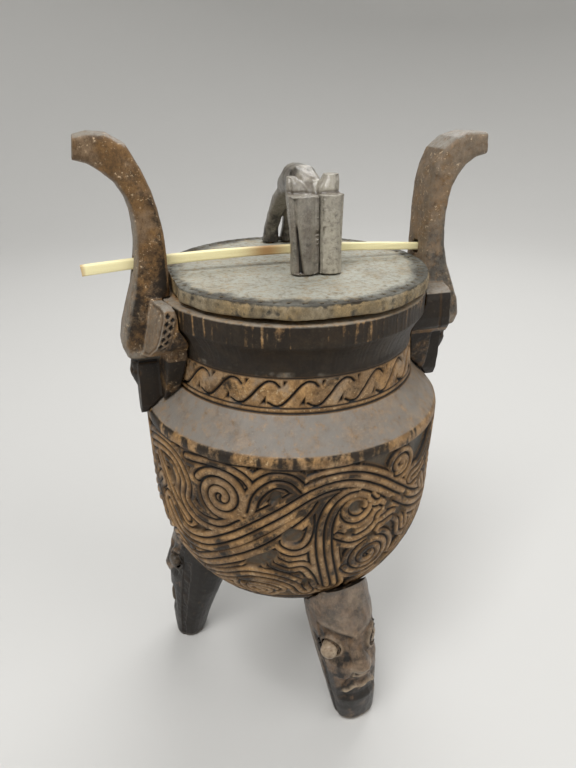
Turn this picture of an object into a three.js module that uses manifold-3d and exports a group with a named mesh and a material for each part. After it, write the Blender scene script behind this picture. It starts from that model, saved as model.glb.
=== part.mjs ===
import * as THREE from "three";
import { mergeVertices } from "three/addons/utils/BufferGeometryUtils.js";
import Module from "manifold-3d";

// Lidded carved wooden medicine box on three mask legs, in millimetres, +Z up.
// X runs through the two handles, the pot's axis is Z, and the soles stand on z = 0.

const wasm = await Module();
wasm.setup();

// Fits
const GAP = 0.3;
const PEG_FIT = 0.25;
const STICK_FIT = 0.6;

// Pot
const POT_SIDES = 60;
const BELLY_RADIUS = 71.9;
const BELLY_CENTRE_Z = 136.5;
const BELLY_EDGE_Z = 181;
const NECK_LOW_Z = 195;
const NECK_LOW_RADIUS = BELLY_RADIUS - 12.7;
const NECK_TOP_Z = 212.4;
const NECK_TOP_RADIUS = BELLY_RADIUS - 14.6;
const COLLAR_RADIUS = BELLY_RADIUS - 9.1;
const COLLAR_LOW_Z = 225;
const COLLAR_TOP_Z = 235;
const MOUTH_RADIUS = COLLAR_RADIUS - 12.8;
const BELLY_WALL = 9;
const MOUTH_FOOT_Z = 190;

// Lid
const LID_RADIUS = COLLAR_RADIUS - 0.4;
const LID_CENTRE = [1.3, -0.8];
const LID_LOW_Z = COLLAR_TOP_Z + 1;
const LID_TOP_Z = 243;
const LID_HANDLE_GAP = 0.9;
const SPIGOT_RADIUS = MOUTH_RADIUS - 1.2;
const SPIGOT_LOW_Z = 226;

// Handles
const HANDLE_LEFT_FACE = COLLAR_RADIUS - 5.4;
const HANDLE_RIGHT_FACE = COLLAR_RADIUS + 0.8;
const HANDLE_SQUARENESS = 5;
const LEFT_REACHES = { ear: 4.7, flare: 0.25, earTop: 235, sheet: 3.4, tongue: 12.8 };
const RIGHT_REACHES = { ear: 12.4, flare: 0.06, earTop: 231.4, sheet: 6.4, tongue: 15.6 };
const HANDLE_PEG_RADIUS = 2.6;
const HANDLE_PEG_HEIGHTS = [229, 203.5];
const HANDLE_PEG_DEPTHS = [10, 8];
const PEG_SKIN = 2;

// Legs
const LEG_AZIMUTHS = { front: -80, back: 38, left: 149.8 };
const LEG_REACHES = { front: -3.4, back: 2, left: 5.4 };
const LEG_LEANS = { front: 11, back: 0, left: 0 };
const LEG_REACH_Z = 90;
const LEG_LEAN_Z = 83;
const LEG_PEG_RADIUS = 4;
const LEG_PEG_R = BELLY_RADIUS - 24.9;
const LEG_PEG_LOW_Z = 60;
const LEG_PEG_TOP_Z = 88;
const EYE_RADIUS = 4.3;
const EYE_Z = 63.4;
const EYE_HUB_R = BELLY_RADIUS - 17.4;
const EYE_SKIN = 17.1;
const EYE_TURN = 47;
const EYE_STAND = 2.3;
const EYE_DEPTH = 5;

// Locking stick, bowed upwards in the XZ plane
const STICK_OVERHANG = 35.9;
const STICK_LEFT_X = -HANDLE_LEFT_FACE - STICK_OVERHANG;
const STICK_RIGHT_X = HANDLE_RIGHT_FACE + 2;
const STICK_BOW_RADIUS = 1000;
const STICK_CROWN_X = -15;
const STICK_CROWN_Z = LID_TOP_Z + 6.9;
const STICK_LEFT_HEIGHT = 4.8;
const STICK_RIGHT_HEIGHT = 3.6;
const STICK_DEPTH_RATIO = 0.7;
const STICK_HOLE_END_X = HANDLE_RIGHT_FACE + 6.9;

// Figure on the lid
const FIGURE_BASE_Z = LID_TOP_Z + GAP;
const FIGURE_PEG_RADIUS = 1.8;
const FIGURE_PEGS = [[-0.2, -18.8], [11.4, -20.2], [3, 46.6], [12.6, 46]];
const FIGURE_PEG_TOP = 7;
const FIGURE_PEG_FOOT = 4;

const rad = (degrees) => THREE.MathUtils.degToRad(degrees);
const point = (x, y, z) => new THREE.Vector3(x, y, z);

// Solids
function meshArrays(geometry) {
  const plain = new THREE.BufferGeometry();
  plain.setAttribute("position", geometry.getAttribute("position"));
  plain.setIndex(geometry.index);
  return mergeVertices(plain, 1e-3);
}

function signedVolume(positions, index) {
  const at = (i) => point().fromArray(positions, 3 * i);
  let volume = 0;
  for (let i = 0; i < index.length; i += 3) {
    volume += at(index[i]).dot(at(index[i + 1]).cross(at(index[i + 2])));
  }
  return volume;
}

function solid(geometry) {
  const merged = meshArrays(geometry);
  const positions = new Float32Array(merged.attributes.position.array);
  const index = Array.from(merged.index.array);
  const kept = [];
  for (let i = 0; i < index.length; i += 3) {
    const [a, b, c] = index.slice(i, i + 3);
    if (a !== b && b !== c && c !== a) {
      kept.push(a, b, c);
    }
  }
  if (signedVolume(positions, kept) < 0) {
    kept.reverse();
  }
  const triVerts = new Uint32Array(kept);
  return new wasm.Manifold(new wasm.Mesh({ numProp: 3, vertProperties: positions, triVerts }));
}

function geometryOf(manifold) {
  const mesh = manifold.getMesh();
  const positions = new Float32Array(mesh.numVert * 3);
  for (let i = 0; i < mesh.numVert; i += 1) {
    positions.set(mesh.vertProperties.subarray(i * mesh.numProp, i * mesh.numProp + 3), i * 3);
  }
  const geometry = new THREE.BufferGeometry();
  geometry.setAttribute("position", new THREE.BufferAttribute(positions, 3));
  geometry.setIndex(new THREE.BufferAttribute(new Uint32Array(mesh.triVerts), 1));
  const flat = geometry.toNonIndexed();
  flat.computeVertexNormals();
  return flat;
}

function revolved(profile, sides) {
  const points = profile.map(([r, z]) => new THREE.Vector2(r, z));
  const lathe = new THREE.LatheGeometry(points, sides);
  return solid(lathe.rotateX(Math.PI / 2));
}

function rod(radius, low, high, sides = 24) {
  const length = low.distanceTo(high);
  const cylinder = new THREE.CylinderGeometry(radius, radius, length, sides);
  const turn = new THREE.Quaternion();
  turn.setFromUnitVectors(point(0, 1, 0), high.clone().sub(low).normalize());
  cylinder.applyQuaternion(turn);
  const middle = low.clone().add(high).multiplyScalar(0.5);
  return solid(cylinder.translate(middle.x, middle.y, middle.z));
}

function box(low, high) {
  const size = high.clone().sub(low);
  const middle = low.clone().add(high).multiplyScalar(0.5);
  const cube = new THREE.BoxGeometry(size.x, size.y, size.z);
  return solid(cube.translate(middle.x, middle.y, middle.z));
}

// A closed skin through rings of equal point counts, capped at both ends.
function loft(rings) {
  const count = rings[0].length;
  const positions = rings.flat().flatMap((p) => [p.x, p.y, p.z]);
  const index = [];
  for (let k = 0; k + 1 < rings.length; k += 1) {
    for (let i = 0; i < count; i += 1) {
      const a = k * count + i;
      const b = k * count + ((i + 1) % count);
      index.push(a, b, a + count, b, b + count, a + count);
    }
  }
  const cap = (ring, first, flip) => {
    const middle = ring.reduce((sum, p) => sum.add(p), point(0, 0, 0)).divideScalar(count);
    positions.push(middle.x, middle.y, middle.z);
    const hub = positions.length / 3 - 1;
    for (let i = 0; i < count; i += 1) {
      const a = first + i;
      const b = first + ((i + 1) % count);
      index.push(hub, flip ? a : b, flip ? b : a);
    }
  };
  cap(rings[0], 0, false);
  cap(rings[rings.length - 1], (rings.length - 1) * count, true);
  const geometry = new THREE.BufferGeometry();
  geometry.setAttribute("position", new THREE.Float32BufferAttribute(positions, 3));
  geometry.setIndex(index);
  return solid(geometry);
}

// A ring between a soft ellipse (power 2) and a crisp rectangle (high power).
function ring(centre, along, across, halfAlong, halfAcross, power, count) {
  const soft = (value) => Math.sign(value) * Math.pow(Math.abs(value), 2 / power);
  return Array.from({ length: count }, (_, i) => {
    const angle = (2 * Math.PI * (i + 0.5)) / count;
    const p = centre.clone().addScaledVector(along, halfAlong * soft(Math.cos(angle)));
    return p.addScaledVector(across, halfAcross * soft(Math.sin(angle)));
  });
}

const join = (pieces) => pieces.reduce((sum, piece) => sum.add(piece));
const cut = (piece, tools) => tools.reduce((left, tool) => left.subtract(tool), piece);

// Pot
function potOutline(extra) {
  const outline = [];
  for (let degrees = -90; degrees < 0; degrees += 7.5) {
    const radius = BELLY_RADIUS + extra;
    outline.push([radius * Math.cos(rad(degrees)), BELLY_CENTRE_Z + radius * Math.sin(rad(degrees))]);
  }
  outline[0][0] = 0;
  outline.push([BELLY_RADIUS + extra, BELLY_CENTRE_Z]);
  outline.push([BELLY_RADIUS + 0.3 + extra, BELLY_CENTRE_Z + 20]);
  outline.push([BELLY_RADIUS + 0.8 + extra, BELLY_EDGE_Z - 7]);
  outline.push([BELLY_RADIUS + 0.2 + extra, BELLY_EDGE_Z - 0.6]);
  outline.push([BELLY_RADIUS - 1.6 + extra, BELLY_EDGE_Z + 1.4 + extra]);
  outline.push([NECK_LOW_RADIUS + 7.4 + extra, NECK_LOW_Z - 8.6 + extra]);
  outline.push([NECK_LOW_RADIUS + 2 + extra, NECK_LOW_Z - 2.6 + extra]);
  outline.push([NECK_LOW_RADIUS + extra, NECK_LOW_Z]);
  outline.push([NECK_TOP_RADIUS + extra, NECK_TOP_Z]);
  outline.push([NECK_TOP_RADIUS + 1.4 + extra, NECK_TOP_Z + 5.6]);
  outline.push([NECK_TOP_RADIUS + 3.4 + extra, NECK_TOP_Z + 9.6]);
  outline.push([COLLAR_RADIUS - 0.3 + extra, COLLAR_LOW_Z - extra]);
  outline.push([COLLAR_RADIUS + extra, COLLAR_LOW_Z + 0.8]);
  outline.push([COLLAR_RADIUS + extra, COLLAR_TOP_Z - 0.8]);
  outline.push([COLLAR_RADIUS - 0.8 + extra, COLLAR_TOP_Z + extra]);
  return outline;
}

function potCavity() {
  const radius = BELLY_RADIUS - BELLY_WALL;
  const cavity = [[MOUTH_RADIUS, COLLAR_TOP_Z], [MOUTH_RADIUS, MOUTH_FOOT_Z]];
  cavity.push([MOUTH_RADIUS + 4, MOUTH_FOOT_Z - 5]);
  cavity.push([radius - 2.5, MOUTH_FOOT_Z - 15]);
  cavity.push([radius, MOUTH_FOOT_Z - 26]);
  for (let degrees = 0; degrees > -90; degrees -= 15) {
    cavity.push([radius * Math.cos(rad(degrees)), BELLY_CENTRE_Z + radius * Math.sin(rad(degrees))]);
  }
  cavity.push([0, BELLY_CENTRE_Z - radius]);
  return cavity;
}

const potKeepOut = () => revolved([...potOutline(GAP), [0, COLLAR_TOP_Z + GAP]], POT_SIDES);

function potBody() {
  const wall = revolved([...potOutline(0), ...potCavity()], POT_SIDES);
  return cut(wall, [...handlePegs(PEG_FIT), ...legPegs(PEG_FIT)]);
}

// Handles: stations of [inner, inner z, outer, outer z, half width] from the tip down, out from the face
const LEFT_STATIONS = [
  [32.4, 300.4, 33.6, 291.2, 8.8],
  [26.6, 301.8, 28, 289.8, 9.2],
  [19.6, 301.2, 23.2, 286.4, 9.4],
  [12.4, 296.8, 18.6, 282, 9.5],
  [7.6, 287.6, 15.4, 276.4, 9.5],
  [4.4, 279.6, 13.8, 271, 9.5],
  [2, 271, 13.2, 264.6, 9.5],
  [0.4, 262, 13.4, 257, 9.6],
  [0, 252, 14.6, 248, 9.8],
  [0, 243, 16.4, 239, 10.2],
  [0, 236.6, 19.2, 230.4, 11.2],
  [0, 224, 22, 221.6, 12.4],
  [0, 213, 23.4, 213.6, 12.8],
  [0.4, 207, 21.6, 208.4, 12],
];
const RIGHT_STATIONS = [
  [28.2, 299, 29.4, 288.8, 8.8],
  [18.8, 299.4, 23.8, 287.4, 9.2],
  [11.2, 297.2, 18.8, 284.2, 9.6],
  [5.2, 292.2, 15.6, 279.8, 9.8],
  [1.9, 285, 13, 274.6, 9.8],
  [0.4, 277, 11.8, 269, 9.8],
  [0, 268, 11.2, 263, 9.8],
  [0, 259, 11.2, 256, 9.8],
  [0, 250, 12.2, 248, 10],
  [0, 242, 14.6, 239, 10.4],
  [0, 236.6, 18, 230.4, 11.2],
  [0, 224, 21.8, 221.6, 12.4],
  [0, 213, 23.4, 213.6, 12.8],
  [0.2, 207, 21.6, 208.4, 12],
];

function handleBar(side, face, stations) {
  const across = point(0, 1, 0);
  const rings = stations.map(([innerR, innerZ, outerR, outerZ, half]) => {
    const inner = point(side * (face + innerR), 0, innerZ);
    const outer = point(side * (face + outerR), 0, outerZ);
    const along = outer.clone().sub(inner);
    const halfAlong = along.length() / 2;
    const centre = inner.clone().add(outer).multiplyScalar(0.5);
    return ring(centre, along.normalize(), across, halfAlong, half, HANDLE_SQUARENESS, 20);
  });
  return loft(rings);
}

// An outline in the YZ plane, mirrored in Y and carried from the mouth out to a round face that widens downwards.
function hugging(outline, side, radius, flare = 0) {
  const shape = new THREE.Shape();
  const right = outline.map(([y, z]) => new THREE.Vector2(y, z));
  const left = outline.map(([y, z]) => new THREE.Vector2(-y, z)).reverse();
  shape.setFromPoints([...right, ...left]);
  const depth = radius + 20 - MOUTH_RADIUS;
  const slab = new THREE.ExtrudeGeometry(shape, { depth, bevelEnabled: false });
  slab.rotateX(Math.PI / 2).rotateZ(Math.PI / 2).translate(MOUTH_RADIUS, 0, 0);
  if (side < 0) {
    slab.rotateZ(Math.PI);
  }
  const low = COLLAR_LOW_Z - 80;
  const high = COLLAR_TOP_Z + 20;
  const lowRadius = radius + flare * (COLLAR_TOP_Z - low);
  const highRadius = radius - flare * (high - COLLAR_TOP_Z);
  return solid(slab).intersect(revolved([[0, low], [lowRadius, low], [highRadius, high], [0, high]], 72));
}

// Ears as [half width, drop from the top]; the sheet and the tongue as [half width, z]
const EARS = [[11, 0], [21.6, 0], [25.2, 1.2], [26.6, 4.6], [26.4, 13], [25, 18], [19.6, 23], [11, 25]];
const SHEET = [[21.6, 219], [21.2, 211], [19.2, 202], [16, 193], [12.4, 186]];
const TONGUE = [[9.6, 212], [9.6, 193], [9, 184], [6.6, 179.4], [3.4, 177.6]];

function handleFace(side, foot) {
  const along = point(side, 0, 0);
  const across = point(0, 1, 0);
  const stations = [[210, 3, 8.4], [205, 1.4, 8.4], [199, 0, 7.6], [194, 1.2, 6.4], [189.6, 3.8, 4.6]];
  const rings = stations.map(([z, back, half]) => {
    const outer = foot - back;
    const halfAlong = (outer - NECK_LOW_RADIUS) / 2;
    return ring(point(side * (outer - halfAlong), 0, z), along, across, halfAlong, half, 3, 20);
  });
  return loft(rings);
}

const wallAt = (z) => (z > COLLAR_LOW_Z - 4 ? COLLAR_RADIUS : NECK_TOP_RADIUS + 1);

function handlePegsOn(side, fit) {
  return HANDLE_PEG_HEIGHTS.map((z, i) => {
    const inner = MOUTH_RADIUS + PEG_SKIN - fit;
    const outer = wallAt(z) + HANDLE_PEG_DEPTHS[i] + fit;
    return rod(HANDLE_PEG_RADIUS + fit, point(side * inner, 0, z), point(side * outer, 0, z));
  });
}

const handlePegs = (fit) => [...handlePegsOn(-1, fit), ...handlePegsOn(1, fit)];

function handle(side, face, stations, reaches) {
  const ears = EARS.map(([y, drop]) => [y, reaches.earTop - drop]);
  const whole = join([
    handleBar(side, face, stations),
    hugging(ears, side, COLLAR_RADIUS + reaches.ear, reaches.flare),
    hugging(SHEET, side, COLLAR_RADIUS + reaches.sheet),
    hugging(TONGUE, side, COLLAR_RADIUS + reaches.tongue),
    handleFace(side, face + stations[stations.length - 1][2] - 0.6),
  ]);
  return cut(whole, [potKeepOut(), ...handlePegsOn(side, PEG_FIT), stickSweep(STICK_FIT)]);
}

// Stick
function stickRing(x, height, depth) {
  const up = point((x - STICK_CROWN_X) / STICK_BOW_RADIUS, 0, 1);
  up.z = Math.sqrt(1 - up.x ** 2);
  const centre = point(STICK_CROWN_X, 0, STICK_CROWN_Z - STICK_BOW_RADIUS).addScaledVector(up, STICK_BOW_RADIUS);
  return ring(centre, up, point(0, 1, 0), height / 2, depth / 2, 6, 16);
}

function lockingStick() {
  const steps = 24;
  const rings = Array.from({ length: steps + 1 }, (_, i) => {
    const height = THREE.MathUtils.lerp(STICK_LEFT_HEIGHT, STICK_RIGHT_HEIGHT, i / steps);
    const x = THREE.MathUtils.lerp(STICK_LEFT_X, STICK_RIGHT_X, i / steps);
    return stickRing(x, height, height * STICK_DEPTH_RATIO);
  });
  return loft(rings);
}

function stickSweep(fit) {
  const steps = 16;
  const height = STICK_LEFT_HEIGHT + 2 * fit;
  const depth = STICK_LEFT_HEIGHT * STICK_DEPTH_RATIO + 2 * fit;
  const rings = Array.from({ length: steps + 1 }, (_, i) => {
    return stickRing(THREE.MathUtils.lerp(STICK_LEFT_X - 20, STICK_HOLE_END_X, i / steps), height, depth);
  });
  return loft(rings);
}

// Lid
function lid() {
  const profile = [
    [0, LID_LOW_Z],
    [LID_RADIUS - 0.9, LID_LOW_Z],
    [LID_RADIUS, LID_LOW_Z + 1.2],
    [LID_RADIUS, LID_TOP_Z - 1.4],
    [LID_RADIUS - 1.2, LID_TOP_Z],
    [0, LID_TOP_Z],
  ];
  const disc = revolved(profile, POT_SIDES).translate([...LID_CENTRE, 0]);
  const spigot = rod(SPIGOT_RADIUS, point(0, 0, SPIGOT_LOW_Z), point(0, 0, LID_LOW_Z + 2), POT_SIDES);
  const reach = 2 * LID_RADIUS;
  const left = point(LID_HANDLE_GAP - HANDLE_LEFT_FACE, reach, LID_TOP_Z + 1);
  const right = point(HANDLE_RIGHT_FACE - LID_HANDLE_GAP, -reach, LID_LOW_Z - 1);
  const flats = [box(point(-reach, -reach, LID_LOW_Z - 1), left), box(right, point(reach, reach, LID_TOP_Z + 1))];
  return cut(disc.add(spigot), [...flats, ...figurePegs(PEG_FIT)]);
}

function figurePegs(fit) {
  return FIGURE_PEGS.map(([x, y]) => {
    const low = point(x, y, LID_TOP_Z - FIGURE_PEG_FOOT - fit);
    const high = point(x, y, LID_TOP_Z + FIGURE_PEG_TOP + fit);
    return rod(FIGURE_PEG_RADIUS + fit, low, high, 16);
  });
}

// Figure: limbs as stations of [x, y, height over the lid, half x, half y]
const LEFT_COLUMN = [
  [-0.2, -18.8, 0, 6.0, 5.2],
  [-0.4, -18.6, 12, 5.8, 4.9],
  [-0.8, -18.0, 24, 6.2, 5.2],
  [-1.0, -17.6, 33, 6.6, 5.4],
];
const LEFT_SHOULDER = [
  [-1.2, -13.8, 20, 4.6, 4.0],
  [-0.4, -12.8, 31, 6.2, 4.2],
  [-1.4, -11.8, 34.6, 5.0, 4.2],
  [-2.6, -10.8, 37.6, 3.4, 3.6],
  [-3.3, -9.4, 39.6, 2.0, 2.8],
];
const RIGHT_COLUMN = [
  [11.4, -20.2, 0, 5.2, 5.0],
  [11.4, -19.8, 12, 4.9, 4.7],
  [11.8, -19.0, 24, 5.1, 4.9],
  [12.2, -18.4, 33.4, 5.1, 5.0],
];
const RIGHT_SHOULDER = [
  [11.8, -15.4, 18, 4.6, 4.0],
  [10.8, -14.6, 31.6, 6.2, 4.4],
  [11.8, -13.8, 35.4, 5.1, 4.2],
  [13.0, -13.0, 38.4, 4.1, 3.9],
  [13.7, -12.0, 40.7, 3.3, 3.4],
];
const LEFT_HIND = [
  [3.0, 46.6, 0, 4.6, 4.6],
  [2.8, 43.6, 7, 3.8, 3.8],
  [2.8, 35.4, 17, 3.8, 4.2],
  [3.2, 25.0, 26.4, 4.4, 5.6],
  [4.0, 12.6, 34.0, 4.8, 5.8],
];
const RIGHT_HIND = [
  [12.6, 46.0, 0, 4.4, 4.6],
  [12.2, 43.0, 7, 3.8, 3.8],
  [10.8, 34.8, 17, 3.8, 4.2],
  [8.6, 24.4, 26.4, 4.6, 5.6],
  [6.8, 12.0, 34.0, 4.6, 5.8],
];
const BACK = [
  [5.6, -14.6, 29.4, 6.6, 3.6],
  [5.0, -9.6, 33.4, 6.8, 5.2],
  [4.6, -1.0, 36.4, 6.9, 7.0],
  [4.6, 8.0, 36.2, 6.8, 7.2],
  [5.2, 18.0, 32.2, 6.4, 5.8],
  [5.8, 25.0, 27.2, 5.2, 4.4],
];

function limb(stations) {
  const along = point(1, 0, 0);
  const across = point(0, 1, 0);
  const rings = stations.map(([x, y, z, halfX, halfY]) => {
    return ring(point(x, y, FIGURE_BASE_Z + z), along, across, halfX, halfY, 2.6, 16);
  });
  return loft(rings);
}

function figureBack() {
  const along = point(1, 0, 0);
  const rings = BACK.map(([x, y, z, halfX, halfZ], i) => {
    const before = BACK[Math.max(i - 1, 0)];
    const after = BACK[Math.min(i + 1, BACK.length - 1)];
    const slope = Math.atan2(after[2] - before[2], after[1] - before[1]);
    const up = point(0, -Math.sin(slope), Math.cos(slope));
    return ring(point(x, y, FIGURE_BASE_Z + z), along, up, halfX, halfZ, 2.4, 20);
  });
  return loft(rings);
}

function lidFigure() {
  const limbs = [LEFT_COLUMN, LEFT_SHOULDER, RIGHT_COLUMN, RIGHT_SHOULDER, LEFT_HIND, RIGHT_HIND];
  return cut(join([figureBack(), ...limbs.map(limb)]), figurePegs(PEG_FIT));
}

// Legs: stations of [z, inner, outer, half width], out from the belly's radius
const LEG_STATIONS = [
  [0, -20, -4, 10.6],
  [2.4, -21.2, -2.8, 11.6],
  [12, -23.2, -1.6, 12.6],
  [25, -26.9, -0.3, 13.6],
  [40, -31.9, 0.7, 14.8],
  [55, -35.5, 0.9, 15.8],
  [70, -38.3, 0.7, 16.6],
  [82, -39.5, -0.1, 16.4],
  [92, -37.9, -1.5, 15.4],
  [100, -32.9, -3.3, 13.2],
];
const NOSE_STATIONS = [
  [72, -4, -0.3, 2],
  [62, -5, 2.2, 3.4],
  [51, -7, 5.2, 5.8],
  [46.8, -5, 3, 5.6],
  [45.6, -5, 1.4, 4.6],
];
const reached = (r, z, reach) => r + reach * Math.max(0, 1 - z / LEG_REACH_Z);
const leaned = (z, lean) => lean * (1 - z / LEG_LEAN_Z);

function legPart(stations, reach, lean, power, count) {
  const along = point(1, 0, 0);
  const across = point(0, 1, 0);
  const rings = stations.map(([z, inner, outer, half]) => {
    const centre = point(reached(BELLY_RADIUS + (inner + outer) / 2, z, reach), leaned(z, lean), z);
    return ring(centre, along, across, (outer - inner) / 2, half, power, count);
  });
  return loft(rings);
}

function eyeAxis(side, reach) {
  const turn = rad(EYE_TURN * side);
  const outward = point(Math.cos(turn), Math.sin(turn), 0);
  const skin = point(reached(EYE_HUB_R, EYE_Z, reach), 0, EYE_Z).addScaledVector(outward, EYE_SKIN);
  return { outward, skin };
}

function eye(side, reach, fit) {
  const { outward, skin } = eyeAxis(side, reach);
  const foot = skin.clone().addScaledVector(outward, -EYE_DEPTH - fit);
  if (fit > 0) {
    return rod(EYE_RADIUS + fit, foot, skin.clone().addScaledVector(outward, 6), 24);
  }
  const across = point(-outward.y, outward.x, 0);
  const length = EYE_DEPTH + EYE_STAND;
  const stations = [[0, 1], [length - 1.9, 1], [length - 0.7, 0.84], [length, 0.5]];
  const rings = stations.map(([along, scale]) => {
    const centre = foot.clone().addScaledVector(outward, along);
    return ring(centre, across, point(0, 0, 1), EYE_RADIUS * scale, EYE_RADIUS * scale, 2, 24);
  });
  return loft(rings);
}

const turned = (piece, azimuth) => piece.rotate([0, 0, azimuth]);

function leg(azimuth, reach, lean) {
  const nose = legPart(NOSE_STATIONS, reach, lean, 2, 12);
  const whole = legPart(LEG_STATIONS, reach, lean, 2.3, 26).add(nose);
  const eyes = [eye(-1, reach, PEG_FIT), eye(1, reach, PEG_FIT)];
  return cut(turned(cut(whole, eyes), azimuth), [potKeepOut(), legPeg(azimuth, PEG_FIT)]);
}

function legPeg(azimuth, fit) {
  const low = point(LEG_PEG_R, 0, LEG_PEG_LOW_Z - fit);
  const top = point(LEG_PEG_R, 0, LEG_PEG_TOP_Z + fit);
  return turned(rod(LEG_PEG_RADIUS + fit, low, top), azimuth);
}

const legPegs = (fit) => Object.values(LEG_AZIMUTHS).map((azimuth) => legPeg(azimuth, fit));

// Materials
const wood = (color, roughness) => new THREE.MeshStandardMaterial({ color, roughness, metalness: 0 });

// Assembly
const group = new THREE.Group();
group.name = "medicine_box";

function place(name, manifold, color, roughness) {
  const mesh = new THREE.Mesh(geometryOf(manifold), wood(color, roughness));
  mesh.name = name;
  group.add(mesh);
}

place("pot_body", potBody(), "#8a6342", 0.62);
place("lid", lid(), "#4b433c", 0.8);
place("lid_figure", lidFigure(), "#4a423d", 0.5);
figurePegs(0).forEach((peg, i) => place("figure_peg_" + (i + 1), peg, "#9a7a55", 0.8));
place("handle_left", handle(-1, HANDLE_LEFT_FACE, LEFT_STATIONS, LEFT_REACHES), "#7d5d45", 0.6);
place("handle_right", handle(1, HANDLE_RIGHT_FACE, RIGHT_STATIONS, RIGHT_REACHES), "#7d5d45", 0.6);
handlePegsOn(-1, 0).forEach((peg, i) => place("handle_left_peg_" + (i + 1), peg, "#9a7a55", 0.8));
handlePegsOn(1, 0).forEach((peg, i) => place("handle_right_peg_" + (i + 1), peg, "#9a7a55", 0.8));
place("locking_stick", lockingStick(), "#d9bd77", 0.55);
for (const [name, azimuth] of Object.entries(LEG_AZIMUTHS)) {
  const reach = LEG_REACHES[name];
  place("leg_" + name, leg(azimuth, reach, LEG_LEANS[name]), "#3a302b", 0.55);
  place("leg_" + name + "_eye_left", turned(eye(-1, reach, 0), azimuth), "#51453c", 0.5);
  place("leg_" + name + "_eye_right", turned(eye(1, reach, 0), azimuth), "#51453c", 0.5);
  place("leg_" + name + "_peg", legPeg(azimuth, 0), "#9a7a55", 0.8);
}

export default group;
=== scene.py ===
import math
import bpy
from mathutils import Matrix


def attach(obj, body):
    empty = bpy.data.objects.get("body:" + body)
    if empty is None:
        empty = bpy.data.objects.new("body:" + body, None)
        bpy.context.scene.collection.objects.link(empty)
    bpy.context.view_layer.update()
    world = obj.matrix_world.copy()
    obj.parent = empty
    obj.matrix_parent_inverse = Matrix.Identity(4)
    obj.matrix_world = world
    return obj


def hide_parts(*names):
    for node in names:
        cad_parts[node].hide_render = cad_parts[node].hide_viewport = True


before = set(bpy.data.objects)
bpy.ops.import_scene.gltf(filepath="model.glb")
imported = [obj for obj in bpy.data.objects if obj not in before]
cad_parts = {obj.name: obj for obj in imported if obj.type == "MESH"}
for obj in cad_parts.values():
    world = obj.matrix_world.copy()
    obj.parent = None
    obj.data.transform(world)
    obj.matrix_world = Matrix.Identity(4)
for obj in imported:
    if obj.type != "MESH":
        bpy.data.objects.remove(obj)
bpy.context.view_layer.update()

from types import SimpleNamespace

import bpy
import numpy as np
from mathutils import Matrix, Vector

MM = 0.001

# Medicine box: a carved pot on three legs with mask faces, and its lid, figure and bamboo stick.
# Lengths are in millimetres and angles in degrees, unless a comment says otherwise

# Camera: the photograph's viewpoint, turned round the pot's axis
CAMERA_AZIMUTH = -17.8
CAMERA_DISTANCE = 284.8
CAMERA_HEIGHT = 316.8
CAMERA_PITCH = 25.56
CAMERA_YAW = -0.29
CAMERA_ROLL = 0.1
CAMERA_FOCAL_PX = 620
PHOTO_LONG_SIDE_PX = 768
SENSOR_MM = 36

# Pot: a pair is (radius, z)
BELLY_RADIUS = 71.9
BELLY_CENTRE_Z = 136.5
BELLY_EDGE_Z = 181
BELLY_FLARE = 0.8
BELLY_FLARE_HEIGHT = 38
NECK_LOW = (59.2, 195.0)
NECK_TOP = (57.3, 212.4)
COLLAR_RADIUS = 62.8
COLLAR_LOW_Z = 225
COLLAR_TOP_Z = 235
MOUTH_RADIUS = 50
MOUTH_FOOT_Z = 190
INSIDE_RADIUS = 62.9
INSIDE_TOP_Z = 164
AXIS_RADIUS = 0.02
POT_COLUMNS = 840

# Belly relief
RELIEF_TOP_Z = 175.8
RELIEF_LOW_Z = 92
GROUND_DEPTH = 2.4
GROOVE_DEPTH = 1.1
GROOVE_WIDTH = 0.62
ECHO_WIDTH = 3.7
STROKE_REACH = 12
BACK_TURN = 180
POINTS_AT_ONCE = 40000

# Neck waves
WAVE_COUNT = 22
WAVE_DEPTH = 1.45
WAVE_CUT_WIDTH = 0.62
NECK_BAND = (197.0, 210.2)

# Handles: -1 is the left one, 1 the right one. Ear points are (distance from the middle, drop)
EAR_OUTLINE = [
    (11, 0), (21.6, 0), (25.2, 1.2), (26.6, 4.6), (26.4, 13), (25, 18), (19.6, 23), (11, 25)]
EAR_TOPS = {-1: 235, 1: 231.4}
EAR_REACHES = {-1: 4.7, 1: 12.4}
EAR_FLARES = {-1: 0.25, 1: 0.06}
EAR_START = (12.9, 13.6)
EAR_BORDER = 1.6
EAR_THICKNESS = 5
DOT_ROWS = {-1: 5, 1: 0}
DOT_PAIR = [(1.6, 3.2), (3.5, 4.9)]
DOT_STEP = 3.4
BLOCK_HALF_WIDTH = 13.4
BLOCK_LOW_Z = 209
TONGUE_LOW_Z = 188
TONGUE_HALF_WIDTH = 9.6
TONGUE_INNER_X = 66
TONGUE_HOLES = [(3.4, 200.5), (2.2, 194.5)]
TONGUE_SIDE_HOLE_Z = 201
TONGUE_BROW_Z = 204.6
HOLE_WIDTH = 1.3

# Legs: azimuth, lean of the sole along the belly, reach of the sole, and how dark the wood is:
# blackened wood, and on the left and back legs partly painted shade
LEGS = {"front": (-80, 11, -3.4, 0.3), "back": (38, 0, 2, 0.95), "left": (149.8, 0, 5.4, 0.95)}
LEG_LEAN_Z = 83
LEG_ROUND_Z = 66
LEG_HIP_Z = 90
EYE_Z = 63.4
EYE_HUB_R = 54.5
EYE_TURN = 47
EYE_RIM_RADIUS = 6.4
EYE_CUT_RADIUS = 4.9
SOCKET_DEPTH = 2.5
BROW_Z = 71.5
NOSTRIL_SIDE = 3
NOSTRIL_Z = 44.4
MOUTH_Z = 31.8
LIP_DEPTH = 1.9

# Half the width of a mask's nose, as (z, half width)
NOSE_OUTLINE = [(41.5, 0), (43.5, 5.4), (49, 5.8), (61, 3.4), (72, 2.0), (75, 0)]

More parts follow.
